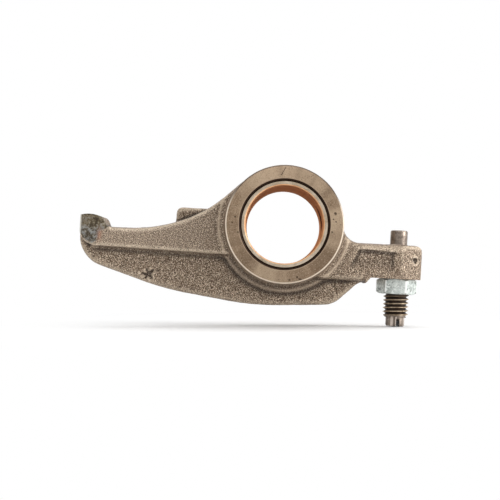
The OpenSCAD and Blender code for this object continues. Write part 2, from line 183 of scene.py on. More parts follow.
# Right end of the pad's ground side, from below to the top
GROUND_LIMIT = [
    (91.0, 243.5), (95.0, 241.0), (97.6, 236.0), (99.0, 231.0),
    (104.0, 229.0), (109.5, 226.5), (108.5, 220.0),
]
# Lower end of the ground side as z at x, in millimetres
GROUND_FOOT_X = (-79.6, -78.4, -76.7, -74.7, -72.8)
GROUND_FOOT_Z = (-6.6, -8.9, -10.1, -11.0, -11.4)
# A scratch and pits on the turned face of the hub: (u0, v0, u1, v1, width in mm)
FACE_MARKS = [
    (286.0, 167.0, 281.5, 174.6, 0.16),
    (335.4, 213.4, 335.7, 213.7, 0.62),
    (333.4, 219.2, 333.6, 219.4, 0.34),
    (336.0, 221.8, 336.2, 222.0, 0.34),
    (332.0, 232.0, 332.3, 232.2, 0.36),
    (297.0, 277.0, 297.2, 277.2, 0.44),
    (299.0, 279.0, 299.2, 279.1, 0.36),
    (300.6, 279.2, 300.8, 279.3, 0.36),
    (289.0, 280.0, 289.8, 280.0, 0.34),
    (238.0, 232.0, 238.2, 232.2, 0.38),
    (235.0, 216.5, 235.2, 216.7, 0.38),
    (232.0, 222.0, 232.2, 222.2, 0.32),
]

# Stage: soft lamps as (name, place, point they face, size, watts), in metres
LAMPS = [
    ("key", (0.70, -0.27, 0.22), (0, 0, -0.01), (0.34, 0.50), 5.0),
    ("front", (-0.10, -0.55, 0.50), (0, 0, -0.01), (0.60, 0.40), 1.3),
    ("top", (0.0, 0.08, 0.75), (0, 0, -0.03), (0.90, 0.50), 1.9),
]
ROOM_FRONT = 0.55
ROOM_BACK = 1.0
FLOOR_HALF = 3000.0
FLOOR_GREY = 0.82
# Middle, in x, and reach, in metres, of the floor that shows the part's shadow
SHADOW_X = 0.012
SHADOW_REACH = (0.06, 0.19)
SHADOW_SQUEEZE = 1.5
SHADOW_GLOW = 0.04


# Mesh tools

def at_pixel(u, v, y):
    """Place (x, z) in millimetres that a pixel of the photograph shows in the plane at y."""
    scale = (y - EYE.y) / FOCAL_PX
    place = EYE + RIGHT * (u - FRAME_PX / 2 - AXIS_PX[0]) * scale
    place = place - UP * (v - FRAME_PX / 2 - AXIS_PX[1]) * scale
    return np.array((place.x, place.z))


def new_object(name, verts, faces):
    """Mesh object from points in millimetres, with its normals turned outwards."""
    me = bpy.data.meshes.new(name)
    me.from_pydata([tuple(c * MM for c in v) for v in verts], [], faces)
    bm = bmesh.new()
    bm.from_mesh(me)
    bmesh.ops.recalc_face_normals(bm, faces=bm.faces)
    bm.to_mesh(me)
    bm.free()
    ob = bpy.data.objects.new(name, me)
    bpy.context.scene.collection.objects.link(ob)
    return ob


def lathe(name, profile, steps=192, axis="Y", centre=(0.0, 0.0)):
    """Solid turned about Y or a line along Z, from (radius, place) points. It is a ring if it never
    meets the axis."""
    verts = []
    rings = []
    for r, a in profile:
        if r < 1e-9:
            rings.append([len(verts)])
            verts.append((0, a, 0) if axis == "Y" else (centre[0], centre[1], a))
            continue
        rings.append(list(range(len(verts), len(verts) + steps)))
        for k in range(steps):
            t = 2 * math.pi * k / steps
            c = r * math.cos(t)
            s = r * math.sin(t)
            verts.append((c, a, s) if axis == "Y" else (centre[0] + c, centre[1] + s, a))
    pairs = list(zip(rings, rings[1:]))
    if all(len(ring) > 1 for ring in rings):
        pairs.append((rings[-1], rings[0]))
    faces = []
    for lo, hi in pairs:
        for k in range(steps):
            n = (k + 1) % steps
            if len(lo) == 1 and len(hi) == 1:
                continue
            if len(lo) == 1:
                faces.append((lo[0], hi[n], hi[k]))
            elif len(hi) == 1:
                faces.append((lo[k], lo[n], hi[0]))
            else:
                faces.append((lo[k], lo[n], hi[n], hi[k]))
    return new_object(name, verts, faces)


def prism(name, points, lo, hi, axis="Y"):
    """Solid of an outline: [x, z] points along Y, or [x, y] points along Z."""
    n = len(points)
    if axis == "Y":
        verts = [(p[0], at, p[1]) for at in (lo, hi) for p in points]
    else:
        verts = [(p[0], p[1], at) for at in (lo, hi) for p in points]
    faces = [tuple(range(n)), tuple(range(2 * n - 1, n - 1, -1))]
    faces += [(k, (k + 1) % n, (k + 1) % n + n, k + n) for k in range(n)]
    return new_object(name, verts, faces)


def apply_modifiers(ob):
    """Replaces the object's mesh by what its modifiers make of it."""
    deps = bpy.context.evaluated_depsgraph_get()
    me = bpy.data.meshes.new_from_object(ob.evaluated_get(deps), depsgraph=deps)
    ob.modifiers.clear()
    old = ob.data
    ob.data = me
    bpy.data.meshes.remove(old)


def remove(ob):
    me = ob.data
    bpy.data.objects.remove(ob)
    bpy.data.meshes.remove(me)


def cut(ob, tool, op="DIFFERENCE", solver="MANIFOLD"):
    """One boolean with a closed tool, which is used up."""
    m = ob.modifiers.new("cut", "BOOLEAN")
    m.operation = op
    m.solver = solver
    m.object = tool
    apply_modifiers(ob)
    remove(tool)


def coords(me):
    a = np.empty(len(me.vertices) * 3)
    me.vertices.foreach_get("co", a)
    return a.reshape(-1, 3)


def set_coords(me, a):
    me.vertices.foreach_set("co", a.ravel())
    me.update()


def normals(me):
    a = np.empty(len(me.vertices) * 3, dtype=np.float32)
    me.vertex_normals.foreach_get("vector", a)
    return a.reshape(-1, 3).astype(float)


def edge_pairs(me):
    e = np.empty(len(me.edges) * 2, dtype=np.int32)
    me.edges.foreach_get("vertices", e)
    return e.reshape(-1, 2)


def neighbour_mean(values, e, n):
    """Mean of each vertex's neighbours."""
    total = np.zeros((n, values.shape[1]))
    count = np.zeros(n)
    for a, b in ((0, 1), (1, 0)):
        for c in range(values.shape[1]):
            total[:, c] += np.bincount(e[:, a], values[e[:, b], c], n)
        count += np.bincount(e[:, a], minlength=n)
    return total / np.maximum(count, 1)[:, None]


def relax(co, e, rounds, step=0.5, back=0.0):
    """Smooths points; with back, the shrinking is undone after each round."""
    n = len(co)
    for _ in range(rounds):
        co = co + step * (neighbour_mean(co, e, n) - co)
        if back:
            co = co - back * (neighbour_mean(co, e, n) - co)
    return co


def smoothstep(lo, hi, x):
    """Goes smoothly from 0 to 1 as x goes from lo to hi."""
    t = np.clip((x - lo) / (hi - lo), 0, 1)
    return t * t * (3 - 2 * t)


def noise_at(points, scale, seed):
    """Smooth noise from -1 to 1 at points in millimetres, with features about scale wide."""
    shift = Vector((seed * 17.3, seed * -9.1, seed * 5.7))
    return np.array([noise.noise(Vector(p) / scale + shift) for p in points])


def finish_shading(me, angle=32.0):
    """Smooth faces, with sharp edges where two faces meet at more than angle."""
    me.polygons.foreach_set("use_smooth", [True] * len(me.polygons))
    bm = bmesh.new()
    bm.from_mesh(me)
    limit = math.radians(angle)
    for e in bm.edges:
        if len(e.link_faces) == 2:
            a, b = e.link_faces
            e.smooth = a.material_index == b.material_index and e.calc_face_angle(0) < limit
    bm.to_mesh(me)
    bm.free()


def set_attribute(me, name, values):
    a = me.attributes.get(name) or me.attributes.new(name, "FLOAT", "POINT")
    a.data.foreach_set("value", np.asarray(values, dtype=np.float32))


def dress(ob, body, node, materials):
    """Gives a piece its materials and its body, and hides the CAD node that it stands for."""
    ob.data.materials.clear()
    for m in materials:
        ob.data.materials.append(m)
    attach(ob, body)
    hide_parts(node)


# Material tools

class Tree:
    """Short way to write shader nodes."""

    def __init__(self, name):
        self.mat = bpy.data.materials.new(name)
        self.mat.use_nodes = True
        self.nt = self.mat.node_tree
        self.nt.nodes.clear()
        self.out = self.nt.nodes.new("ShaderNodeOutputMaterial")
        self.co = self.node("TexCoord")["Object"]

    def node(self, kind, *links, **settings):
        """Adds a node. Links fill its inputs in order; settings are its properties or named inputs."""
        nd = self.nt.nodes.new("ShaderNode" + kind)
        sockets = {k: v for k, v in settings.items() if not hasattr(nd, k)}
        for k, v in settings.items():
            if hasattr(nd, k):
                setattr(nd, k, v)
        for i, v in enumerate(links):
            if v is not None:
                self.put(nd.inputs[i], v)
        for k, v in sockets.items():
            self.put(nd.inputs[k.replace("_", " ")], v)
        return nd.outputs

    def put(self, socket, value):
        """Feeds an input from another node's output, or sets it to a value."""
        if isinstance(value, bpy.types.NodeSocket):
            self.nt.links.new(value, socket)
        else:
            socket.default_value = value

    def maths(self, op, a, b=0.0, clamp=False):
        return self.node("Math", a, b, operation=op, use_clamp=clamp)[0]

    def times(self, *values):
        total = values[0]
        for v in values[1:]:
            total = self.maths("MULTIPLY", total, v)
        return total

    def noise(self, size_mm, detail=2.0, rough=0.5, distort=0.0):
        """Noise texture with features about size_mm wide, from 0 to 1."""
        scale = 1 / (size_mm * MM)
        nd = self.node("TexNoise", Scale=scale, Detail=detail, Roughness=rough, Distortion=distort)
        self.put(nd[0].node.inputs["Vector"], self.co)
        return nd[0]

    def lines(self, along, size_mm, detail=2.0, rough=0.6):
        """Noise that changes in one direction alone, as tool marks do."""
        w = self.maths("MULTIPLY", along, 1 / (size_mm * MM))
        nd = self.node("TexNoise", noise_dimensions="1D", W=w, Scale=1.0, Detail=detail, Roughness=rough)
        return nd[0]

    def step(self, value, lo, hi, a=0.0, b=1.0):
        """Goes smoothly from a to b as value goes from lo to hi."""
        n = self.node("MapRange", interpolation_type="SMOOTHSTEP")[0].node
        self.put(n.inputs["Value"], value)
        for k, v in (("From Min", lo), ("From Max", hi), ("To Min", a), ("To Max", b)):
            self.put(n.inputs[k], v)
        return n.outputs[0]

    def mix(self, factor, a, b):
        """Colour a where factor is 0, and b where it is 1."""
        n = self.node("Mix", data_type="RGBA")[0].node
        self.put(n.inputs["Factor"], factor)
        self.put(n.inputs[6], a)
        self.put(n.inputs[7], b)
        return n.outputs[2]

    def blend(self, value, lo, hi, first, second):
        """Goes from one sRGB colour to another as value goes from lo to hi."""
        return self.mix(self.step(value, lo, hi), rgb(*first), rgb(*second))

    def paint(self, under, value, lo, hi, share, colour):
        """Lays an sRGB colour on, by up to share, as value goes from lo to hi."""
        return self.mix(self.step(value, lo, hi, 0.0, share), under, rgb(*colour))

    def attribute(self, name):
        return self.node("Attribute", attribute_name=name)[2]

    def bump(self, height, strength, distance_mm):
        nd = self.node("Bump", Strength=strength, Distance=distance_mm * MM)
        self.put(nd[0].node.inputs["Height"], height)
        return nd[0]

    def parts(self):
        """The shading point's x, y and z in the shared frame, in metres."""
        n = self.node("SeparateXYZ", self.co)
        return n[0], n[1], n[2]

    def radius(self, a, b):
        return self.maths("SQRT", self.maths("ADD", self.times(a, a), self.times(b, b)))

    def surface(self, **settings):
        b = self.nt.nodes.new("ShaderNodeBsdfPrincipled")
        for k, v in settings.items():
            self.put(b.inputs[k.replace("_", " ")], v)
        self.nt.links.new(b.outputs[0], self.out.inputs["Surface"])
        return self.mat


def rgb(r, g, b):
    """Colour written as 0 to 255 sRGB."""
    linear = [((c / 255 + 0.055) / 1.055) ** 2.4 if c > 10 else c / 255 / 12.92 for c in (r, g, b)]
    return (*linear, 1.0)


def ring_tangent(t, x, z):
    """Direction round the bore, for the sheen of turned faces."""
    n = t.node("CombineXYZ", t.maths("MULTIPLY", z, -1.0), 0.0, x)
    return t.node("VectorMath", n[0], operation="NORMALIZE")[0]


def segment_distance(t, x, z, a, b):
    """Distance of a shading point from the line between a and b, which lie in the plane of x and z."""
    run = b - a
    long = float(run @ run) * MM
    dx = t.maths("SUBTRACT", x, float(a[0]) * MM)
    dz = t.maths("SUBTRACT", z, float(a[1]) * MM)
    dot = t.maths("ADD", t.maths("MULTIPLY", dx, float(run[0])), t.maths("MULTIPLY", dz, float(run[1])))
    share = t.maths("DIVIDE", dot, long, clamp=True)
    off_x = t.maths("SUBTRACT", dx, t.maths("MULTIPLY", share, float(run[0]) * MM))
    off_z = t.maths("SUBTRACT", dz, t.maths("MULTIPLY", share, float(run[1]) * MM))
    return t.radius(off_x, off_z)


# Materials

def cast_iron():
    """Blasted cast skin, with the ground and heat-tinted sides of the pad."""
    t = Tree("cast_iron_skin")
    x, y, z = t.parts()
    side = t.maths("ABSOLUTE", y)
    grain = t.noise(0.42, 1.0, 0.6)
    fine = t.noise(0.32, 0.0, 0.5)
    patch = t.noise(5.5, 3.0, 0.55)
    wide = t.noise(22.0, 2.0, 0.5)
    edge = t.attribute("edge")
    dirt_and_shade = t.attribute("dirt_and_shade")
    ground = t.attribute("ground")
    collar = t.attribute("collar")
    # The hub and the collar round it are smoother than the arms
    on_hub = t.step(side, 10.1 * MM, 11.3 * MM, 0.0, 0.75)
    plain = t.maths("MAXIMUM", on_hub, t.step(collar, 0.1, 0.7, 0.0, 0.45))
    c = t.blend(grain, 0.32, 0.50, (62, 47, 35), (113, 94, 76))
    c = t.paint(c, grain, 0.50, 0.68, 1.0, (168, 147, 125))
    c = t.mix(plain, c, rgb(120, 101, 83))
    c = t.paint(c, patch, 0.35, 0.75, 0.32, (98, 78, 60))
    c = t.paint(c, wide, 0.40, 0.70, 0.20, (136, 118, 100))
    # Painted highlight: the valve arm's flange is a little paler than its web
    flange_highlight = t.times(t.step(x, -20 * MM, -36 * MM), t.step(side, 6.5 * MM, 8.5 * MM, 0.0, 0.13))
    c = t.mix(flange_highlight, c, rgb(206, 190, 172))
    # Painted highlight along the convex edges and below the pad's ground sides
    c = t.paint(c, edge, 0.20, 1.0, 0.72, (200, 182, 160))
    # Painted highlight on the collar's crest
    c = t.paint(c, collar, 0.20, 1.0, 0.60, (184, 165, 143))
    # Painted shade in the hollows, on the side hollow's floor and under the hub, with dirt in the dents
    c = t.paint(c, dirt_and_shade, 0.10, 1.0, 0.85, (40, 28, 20))
    # The grain is fainter on the smooth places and where the painted shade and the dirt lie
    bare = t.times(t.maths("SUBTRACT", 1.0, plain), t.step(dirt_and_shade, 0.1, 0.9, 1.0, 0.35))
    c = t.mix(t.times(t.step(fine, 0.56, 0.74, 0.0, 0.85), bare), c, rgb(226, 208, 184))
    c = t.mix(t.times(t.step(fine, 0.44, 0.26, 0.0, 0.80), bare), c, rgb(46, 33, 23))
    # Painted shade on the hub's side, a dark line where the skin ends at the bevel of the hub's faces
    c = t.paint(c, side, 17.4 * MM, 18.2 * MM, 0.55, (74, 60, 48))
    # Ground sides and end of the pad: olive above, grey-blue below, with a painted highlight along the left
    # edge
    tint = t.noise(2.1, 3.0, 0.7, 0.5)
    spot = t.noise(0.75, 2.0, 0.65)
    olive = t.blend(tint, 0.38, 0.62, (62, 51, 34), (118, 104, 78))
    blue = t.blend(tint, 0.42, 0.58, (70, 68, 65), (128, 129, 128))
    depth = t.step(z, -6.6 * MM, -2.6 * MM, 0.60, 0.0)
    low = t.maths("ADD", depth, t.step(tint, 0.36, 0.64, -0.5, 0.4), clamp=True)
    g = t.mix(low, olive, blue)
    g = t.paint(g, spot, 0.56, 0.70, 0.50, (170, 164, 150))
    g = t.paint(g, spot, 0.46, 0.34, 0.65, (46, 39, 30))
    # Painted highlight along the pad's left edge
    g = t.paint(g, x, -79.0 * MM, -79.6 * MM, 0.9, (226, 222, 212))
    c = t.mix(ground, c, g)
    c = t.mix(t.attribute("rust"), c, rgb(158, 104, 78))
    height = t.maths("ADD", t.maths("MULTIPLY", grain, 0.7), t.maths("MULTIPLY", fine, 0.4))
    height = t.times(height, t.step(ground, 0.0, 1.0, 1.0, 0.45), bare)
    return t.surface(
        Base_Color=c, Metallic=0.20, Roughness=t.step(grain, 0.3, 0.7, 0.70, 0.50),
        Specular_IOR_Level=0.4, Normal=t.bump(height, 1.0, 0.09),
    )


def machined_iron():
    """Turned faces of the hub, the bore's mouth and the milled seat."""
    t = Tree("machined_iron")
    x, y, z = t.parts()
    r = t.radius(x, z)
    rings = t.lines(r, 0.19)
    broad = t.lines(r, 1.1, 1.0, 0.5)
    blot = t.noise(5.0, 4.0, 0.6)
    fine = t.noise(0.42, 2.0, 0.6)
    speck = t.noise(0.60, 1.0, 0.4)
    c = t.blend(blot, 0.32, 0.70, (134, 110, 86), (168, 144, 118))
    # Painted shade towards the bottom of the face
    c = t.paint(c, z, 14 * MM, -20 * MM, 0.50, (112, 90, 70))
    c = t.paint(c, rings, 0.35, 0.70, 0.40, (190, 170, 145))
    c = t.paint(c, broad, 0.35, 0.70, 0.28, (108, 87, 67))
    # Painted sheen of the tool marks: brighter at the top, darker at the right, and in light and dark fans
    # round the face
    c = t.paint(c, z, 8 * MM, 22 * MM, 0.60, (206, 180, 152))
    c = t.paint(c, x, 8 * MM, 22 * MM, 0.25, (116, 94, 74))
    around = t.node("VectorMath", t.node("CombineXYZ", x, 0.0, z)[0], operation="NORMALIZE")[0]
    sheen_fan = t.node("TexNoise", Scale=1.7, Detail=2.0, Roughness=0.6)
    t.put(sheen_fan[0].node.inputs["Vector"], around)
    c = t.paint(c, sheen_fan[0], 0.50, 0.64, 0.55, (196, 173, 146))
    c = t.paint(c, sheen_fan[0], 0.48, 0.36, 0.45, (104, 83, 64))
    c = t.paint(c, fine, 0.52, 0.74, 0.40, (206, 188, 164))
    c = t.paint(c, fine, 0.46, 0.30, 0.40, (92, 73, 56))
    c = t.paint(c, speck, 0.72, 0.79, 0.70, (60, 44, 32))
    # The scratch and pits of the front face
    front = t.step(y, -18.5 * MM, -18.9 * MM)
    for u0, v0, u1, v1, width in FACE_MARKS:
        a = at_pixel(u0, v0, -HUB_HALF)
        b = at_pixel(u1, v1, -HUB_HALF)
        off = segment_distance(t, x, z, a, b)
        mark = t.step(off, width * MM * 0.5, width * MM * 1.1, 0.85, 0.0)
        c = t.mix(t.times(mark, front), c, rgb(50, 36, 26))
    # Painted highlight on the bevel round the face below and at the sides, and painted shade on it at the
    # top
    rim = (HUB_FACE_R - HUB_BEVEL) * MM
    ring = t.times(t.step(r, rim - 0.03 * MM, rim + 0.05 * MM), t.step(r, 24.0 * MM, 23.5 * MM))
    c = t.mix(ring, c, t.blend(z, 4 * MM, 14 * MM, (230, 214, 194), (96, 80, 66)))
    # Painted highlight on the lip of the bore's mouth, and painted shadow in the groove beside the bush
    mouth = (BUSH_R + SEAT_BEVEL) * MM
    lip_highlight = t.times(t.step(r, mouth + 0.3 * MM, mouth + 0.1 * MM), t.step(r, mouth - 0.1 * MM, mouth))
    c = t.mix(lip_highlight, c, rgb(176, 154, 130))
    c = t.mix(t.step(r, mouth + 0.02 * MM, mouth - 0.08 * MM), c, rgb(50, 34, 22))
    height = t.maths("ADD", t.maths("MULTIPLY", rings, 0.8), t.maths("MULTIPLY", fine, 0.6))
    return t.surface(
        Base_Color=c, Metallic=0.75, Roughness=t.step(blot, 0.3, 0.7, 0.44, 0.34), Specular_IOR_Level=0.5,
        Anisotropic=0.8, Tangent=ring_tangent(t, x, z), Normal=t.bump(height, 0.45, 0.05),
    )


def pad_crown():
    """Ground and worn crown of the pad, with its marks along the bore."""
    t = Tree("pad_ground_face")
    x, y, _ = t.parts()
    marks = t.lines(x, 0.17)
    blot = t.noise(3.0, 3.0, 0.6)
    c = t.blend(blot, 0.35, 0.70, (120, 116, 108), (160, 154, 144))
    c = t.paint(c, marks, 0.35, 0.70, 0.4, (184, 180, 170))
    c = t.paint(c, t.maths("ABSOLUTE", y), 7.2 * MM, PAD_HALF * MM, 0.55, (104, 84, 58))
    return t.surface(
        Base_Color=c, Metallic=0.8, Roughness=0.34, Specular_IOR_Level=0.5, Normal=t.bump(marks, 0.3, 0.03),
    )


def bush_metal():
    """Bronze lining on a paler back, with painted shade on the upper wall."""
    t = Tree("bush_bronze")
    x, y, z = t.parts()
    r = t.radius(x, z)
    rings = t.lines(y, 0.24)
    blot = t.noise(3.5, 3.0, 0.55)
    fine = t.noise(0.4, 2.0, 0.5)
    bronze = t.blend(blot, 0.32, 0.72, (200, 146, 104), (220, 170, 128))
    bronze = t.paint(bronze, rings, 0.4, 0.75, 0.25, (220, 166, 120))
    # Painted shade on the upper wall of the bore
    bronze = t.paint(bronze, z, -2 * MM, 12 * MM, 0.86, (140, 103, 76))
    back = t.blend(blot, 0.32, 0.72, (158, 142, 122), (186, 172, 154))
    back = t.paint(back, fine, 0.45, 0.75, 0.4, (206, 190, 168))
    bevel = t.blend(blot, 0.32, 0.72, (206, 156, 114), (230, 188, 146))
    # From the wall outwards: bevel of the lining, back, and painted shadow of the groove at the rim
    c = t.mix(t.step(r, (BORE_R + 0.02) * MM, (BORE_R + 0.08) * MM), bronze, bevel)
    c = t.mix(t.step(r, (BORE_R + 0.35) * MM, (BORE_R + 0.50) * MM), c, back)
    c = t.paint(c, r, (BUSH_R - 0.57) * MM, (BUSH_R - 0.40) * MM, 1.0, (48, 34, 24))
    # Dark oil round the drilled hole
    cos_a = math.cos(OIL_ANGLE)
    sin_a = math.sin(OIL_ANGLE)
    along = t.maths("ADD", t.maths("MULTIPLY", x, cos_a), t.maths("MULTIPLY", z, sin_a))
    across = t.maths("SUBTRACT", t.maths("MULTIPLY", z, cos_a), t.maths("MULTIPLY", x, sin_a))
    spread = t.step(t.radius(across, y), 6.6 * MM, 3.4 * MM, 0.0, 0.92)
    c = t.mix(t.times(spread, t.step(along, 0.0, 2 * MM)), c, rgb(56, 38, 26))
    height = t.maths("ADD", rings, t.maths("MULTIPLY", fine, 0.4))
    return t.surface(
        Base_Color=c, Metallic=0.25, Roughness=0.45, Specular_IOR_Level=0.0,
        Specular_Tint=rgb(190, 120, 80), Normal=t.bump(height, 0.2, 0.03),
    )


def screw_steel():
    """Steel, darker on the thread, with a brighter plain end and tip; painted highlights on the thread's
    crests and the tip, painted shade in the roots.
    """
    t = Tree("screw_steel")
    x, y, z = t.parts()
    off = t.maths("SUBTRACT", x, SCREW_X * MM)
    r = t.radius(off, y)
    blot = t.noise(1.8, 3.0, 0.6)
    fine = t.noise(0.38, 2.0, 0.5)
    rings = t.lines(z, 0.22)
    c = t.blend(blot, 0.32, 0.70, (106, 93, 83), (146, 133, 121))
    c = t.paint(c, rings, 0.4, 0.75, 0.3, (184, 172, 160))
    c = t.paint(c, fine, 0.55, 0.80, 0.40, (200, 189, 177))
    c = t.paint(c, fine, 0.45, 0.28, 0.40, (70, 58, 50))
    # Painted highlight and shade streaks round the tip
    low = THREAD_LOW * MM
    high = THREAD_HIGH * MM
    painted_streak = t.lines(x, 1.5, 1.0, 0.5)
    bottom = t.step(z, low + 0.8 * MM, low)
    c = t.mix(t.times(t.step(painted_streak, 0.52, 0.62, 0.0, 0.75), bottom), c, rgb(226, 212, 200))
    c = t.mix(t.times(t.step(painted_streak, 0.46, 0.36, 0.0, 0.60), bottom), c, rgb(76, 62, 52))
    # Painted highlights on the thread's crests and painted shade in its roots, with painted shadow just
    # under the nut
    thread = t.times(t.step(z, low + 0.8 * MM, low + 1.2 * MM), t.step(z, high + 0.6 * MM, high))
    root_shade = t.blend(blot, 0.3, 0.7, (30, 20, 12), (56, 40, 27))
    crest = t.blend(blot, 0.3, 0.7, (150, 128, 104), (206, 186, 160))
    root = t.step(r, (THREAD_R - 0.12) * MM, (THREAD_R - 0.55) * MM)
    shade = t.step(z, (NUT_LOW - 1.6) * MM, (NUT_LOW - 0.4) * MM, 0.0, 0.8)
    c = t.mix(thread, c, t.mix(t.maths("MAXIMUM", root, shade), crest, root_shade))
    # Painted shade in the slot of the tip
    turned_x = t.maths("MULTIPLY", off, math.cos(SLOT_TURN))
    turned_y = t.maths("MULTIPLY", y, math.sin(SLOT_TURN))
    across = t.maths("ABSOLUTE", t.maths("ADD", turned_x, turned_y))
    wall = t.step(across, (SLOT_HALF + 0.04) * MM, (SLOT_HALF + 0.01) * MM)
    c = t.mix(t.times(wall, t.step(z, low, low - 0.8 * MM)), c, rgb(30, 22, 15))
    height = t.maths("ADD", t.maths("MULTIPLY", rings, 0.6), t.maths("MULTIPLY", fine, 0.6))
    return t.surface(
        Base_Color=c, Metallic=0.70, Roughness=t.step(blot, 0.3, 0.7, 0.48, 0.36), Specular_IOR_Level=0.5,
        Normal=t.bump(height, 0.3, 0.04),
    )


def zinc():
    """Pale zinc plate with grey stains."""
    t = Tree("zinc_plate")
    x, y, _ = t.parts()
    off = t.maths("SUBTRACT", x, SCREW_X * MM)
    blot = t.noise(1.5, 4.0, 0.65, 0.6)
    stain = t.noise(2.2, 4.0, 0.75, 1.6)
    spot = t.noise(0.8, 2.0, 0.6, 0.8)
    fine = t.noise(0.35, 2.0, 0.5)
    c = t.blend(blot, 0.35, 0.65, (186, 194, 189), (220, 225, 220))
    # The outer facets, seen aslant, are the dirtier ones
    outer = t.step(t.maths("ABSOLUTE", off), 2 * MM, 6 * MM, 0.55, 1.0)
    c = t.mix(t.times(t.step(stain, 0.50, 0.60), outer), c, rgb(128, 134, 129))
    c = t.mix(t.times(t.step(spot, 0.60, 0.68), outer), c, rgb(66, 68, 65))
    c = t.paint(c, fine, 0.56, 0.76, 0.4, (240, 242, 236))
    # Painted shine of the plate along the six corners
    c = t.paint(c, t.radius(off, y), 7.75 * MM, 7.95 * MM, 0.8, (246, 248, 244))
    height = t.maths("ADD", t.maths("MULTIPLY", blot, 0.7), t.maths("MULTIPLY", fine, 0.4))
    return t.surface(
        Base_Color=c, Metallic=0.45, Roughness=t.step(stain, 0.5, 0.7, 0.38, 0.60), Specular_IOR_Level=0.5,
        Normal=t.bump(height, 0.4, 0.06),
    )


# The casting

def pad_arc(extra, first, last, steps):
    """Points of the pad's crown, raised by extra, between two angles in degrees."""
    r = PAD_R + extra
    angles = [math.radians(a) for a in np.linspace(first, last, steps)]
    return [(PAD_CENTRE[0] + r * math.cos(a), PAD_CENTRE[1] + r * math.sin(a)) for a in angles]


def nose_outline(gap):
    """Front half of the boss's plan, from the screw arm's side to its end, as [x, y] points."""
    half = ARM_HALF - gap
    end_y = half - (BOSS_END - NOSE_START) * math.tan(NOSE_ANGLE)
    centre_y = end_y - NOSE_END_R * math.tan((math.pi / 2 - NOSE_ANGLE) / 2)
    centre_x = BOSS_END - gap - NOSE_END_R
    points = [(SEAT_IN - 1.8, half), (NOSE_START, half)]
    for a in np.linspace(math.pi / 2 - NOSE_ANGLE, 0.0, 6):
        points.append((centre_x + NOSE_END_R * math.cos(a), centre_y + NOSE_END_R * math.sin(a)))
    return points


def cast_blank():
    """The casting as it leaves the mould: the CAD solid with its machined places filled again."""
    bm = bmesh.new()
    bm.from_mesh(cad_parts["arm_casting"].data)
    bmesh.ops.remove_doubles(bm, verts=bm.verts, dist=1e-7)

    def hub_r(y):
        return HUB_FACE_R + (HUB_HALF - y) * HUB_DRAFT - 0.01

    end, foot = FILL_HUB
    hub = [(0, -end), (hub_r(end), -end), (hub_r(foot), -foot), (BUSH_R + 1, -foot)]
    left = PAD_END + FILL_INSET
    crown = [p for p in pad_arc(FILL_CROWN, 110, 66, 12) if left < p[0] < FILL_CROWN_END]
    crown = [(left, crown[0][1])] + crown + [(FILL_CROWN_END, FILL_CROWN_FOOT), (left, FILL_CROWN_FOOT)]
    nose = nose_outline(FILL_INSET)
    nose = [(x, -y) for x, y in nose] + list(reversed(nose))
    plug_r = HOLE_R + 0.6
    plug = [(0, FILL_HOLE), (plug_r, FILL_HOLE), (plug_r, ARM_TOP), (0, ARM_TOP)]
    fillers = [
        lathe("fill", hub + [(r, -y) for r, y in reversed(hub)], 128),
        lathe("fill", plug, 64, "Z", (SCREW_X, 0.0)),
        prism("fill", nose, *FILL_SEAT, "Z"),
        prism("fill", crown, -PAD_HALF, PAD_HALF),
    ]
    for f in fillers:
        bm.from_mesh(f.data)
        remove(f)
    me = bpy.data.meshes.new("casting")
    bm.to_mesh(me)
    bm.free()
    ob = bpy.data.objects.new("rocker_casting", me)
    bpy.context.scene.collection.objects.link(ob)
    return ob


def side_recess(p):
    """Share from 0 to 1 of the shallow hollow on both sides of the screw arm."""
    x = p[:, 0]
    z = p[:, 2]
    left = smoothstep(-1.0, 2.0, x - np.interp(z, RECESS_LEFT_Z, RECESS_LEFT_X))
    right = 1 - smoothstep(*RECESS_RIGHT, x)
    top = 1 - smoothstep(*RECESS_TOP, z + RECESS_LEAN * (x - RECESS_LEFT_X[-1]))
    low = smoothstep(*RECESS_LOW, z)
    return left * right * top * low


def collar_rise(p):
    """Height of the collar round the hub's foot, less the depth of the groove inside it."""
    r = np.hypot(p[:, 0], p[:, 2])
    low = 1 - smoothstep(*COLLAR_END, np.abs(p[:, 1]))
    collar = COLLAR_HEIGHT * np.exp(-((r - COLLAR_R) / COLLAR_WIDTH) ** 2)
    groove = GROOVE_DEPTH * np.exp(-((r - GROOVE_R) / GROOVE_WIDTH) ** 2)
    return low * (collar - groove)


def groove_depth(p, marks, y):
    """Depth of the front side's marks, given in the photograph's pixels at the plane y. Each mark
    narrows towards its end."""
    depth = np.zeros(len(p))
    flat = p[:, (0, 2)]
    for u0, v0, u1, v1, width, deep in marks:
        a = at_pixel(u0, v0, y)
        run = at_pixel(u1, v1, y) - a
        share = np.clip((flat - a) @ run / max(run @ run, 1e-9), 0, 1)
        off = np.linalg.norm(flat - a - share[:, None] * run, axis=1)
        reach = width * (1 - 0.35 * share)
        depth = np.maximum(depth, deep * (1 - smoothstep(0.3, 1.0, off / reach)))
    return depth * (p[:, 1] < 0)


def ground_share(p):
    """How much of the skin is ground at the pad's sides and end, from 0 to 1."""
    x, y, z = p.T
    places = np.array([at_pixel(u, v, -PAD_HALF) for u, v in GROUND_LIMIT])
    limit = np.interp(z, places[:, 1], places[:, 0])
    side = smoothstep(6.6, 8.4, np.abs(y)) * (1 - smoothstep(-0.35, 0.35, x - limit))
    side = side * smoothstep(-0.25, 0.35, z - np.interp(x, GROUND_FOOT_X, GROUND_FOOT_Z))
    end = (1 - smoothstep(PAD_END + 0.35, PAD_END + 0.65, x)) * smoothstep(-7.4, -6.6, z)
    return np.maximum(side, end)


